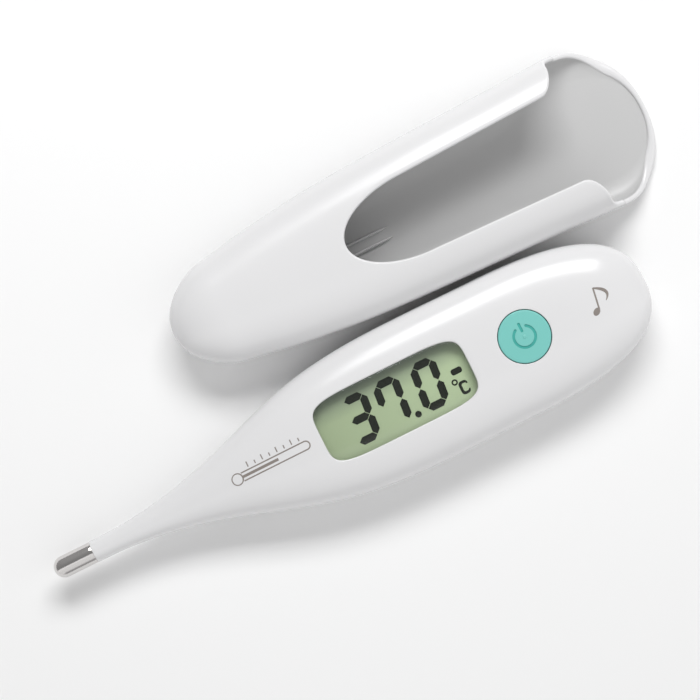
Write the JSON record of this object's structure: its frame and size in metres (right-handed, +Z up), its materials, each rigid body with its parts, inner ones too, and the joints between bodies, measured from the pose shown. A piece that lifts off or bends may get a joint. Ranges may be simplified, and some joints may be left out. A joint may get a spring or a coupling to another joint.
{
  "type": "digital thermometer",
  "caption": "Digital clinical thermometer with a thin steel-tipped probe, a wide grip with display and push button, a sliding battery door, and an open-topped storage case beside it.",
  "frame": {"origin": "on the thermometer's flat underside, below the middle of the display window", "axes": "+X along the thermometer to its grip end, with the probe's tip at -X; +Y to the storage case lying beside it; +Z up, out of the display"},
  "size_m": [0.147, 0.0627, 0.0149],
  "materials": {
    "white_plastic": "glossy moulded",
    "case_plastic": "glossy moulded",
    "mint_plastic": "satin moulded",
    "grey_plastic": "fine matt",
    "black_resin": "matt",
    "black_foam": "matt",
    "grey_rubber": "matt",
    "clear_window": "clear, polished",
    "display_glass": "clear, polished",
    "polariser_film": "satin film",
    "reflector_film": "satin film",
    "display_ink": "matt",
    "epoxy": "cast",
    "red_enamel": "enamel",
    "circuit_board": "solder mask",
    "tan_ceramic": "fired",
    "white_ceramic": "fired",
    "polished_steel": "polished",
    "zinc_steel": "satin",
    "nickel_steel": "satin",
    "brass_plate": "rolled"
  },
  "bodies": {
    "thermometer": {"front_cover": "white_plastic", "rear_cover": "white_plastic", "display_window": "clear_window", "window_tape": "black_foam", "probe_cap": "polished_steel", "probe_filler": "epoxy", "thermistor_bead": "epoxy", "thermistor_leads": "red_enamel", "lcd_polariser": "polariser_film", "lcd_front_glass": "display_glass", "lcd_segments": "display_ink", "lcd_rear_glass": "display_glass", "lcd_reflector": "reflector_film", "lcd_frame": "grey_plastic", "lcd_connector": "black_foam", "main_board": "circuit_board", "board_screws": "zinc_steel", "controller_chip": "black_resin", "quartz_crystal": "zinc_steel", "chip_resistors": "black_resin", "chip_capacitors": "tan_ceramic", "switch_body": "black_resin", "switch_dome": "zinc_steel", "button_seal": "grey_rubber", "buzzer_disc": "brass_plate", "buzzer_ceramic": "white_ceramic", "buzzer_leads": "red_enamel", "battery_frame": "grey_plastic", "cell_can": "nickel_steel", "cell_gasket": "black_foam", "cell_cap": "nickel_steel", "contact_positive": "nickel_steel", "contact_negative": "nickel_steel"},
    "button": {"power_button": "mint_plastic"},
    "plunger": {"switch_plunger": "grey_plastic"},
    "door": {"battery_door": "white_plastic", "door_pad": "grey_rubber"},
    "case": {"storage_case": "case_plastic"}
  },
  "joints": [
    {"name": "power_button_press", "type": "slide", "parent": "thermometer", "child": "button", "axis": [0, 0, -1], "range_m": [0, 0.00035], "stiffness_N_per_m": 600, "springref_m": -0.001},
    {"name": "plunger_press", "type": "slide", "parent": "thermometer", "child": "plunger", "axis": [0, 0, -1], "range_m": [0, 0.00035], "deforming": ["switch_dome"]},
    {"name": "battery_door_slide", "type": "slide", "parent": "thermometer", "child": "door", "axis": [1, 0, 0], "range_m": [0, 0.032]},
    {"name": "case_slide", "type": "slide", "parent": "thermometer", "child": "case", "axis": [1, 0, 0], "range_m": [0, 0.11]}
  ],
  "couplings": [
    {"joint": "plunger_press", "follows": "power_button_press", "ratio": 1}
  ]
}
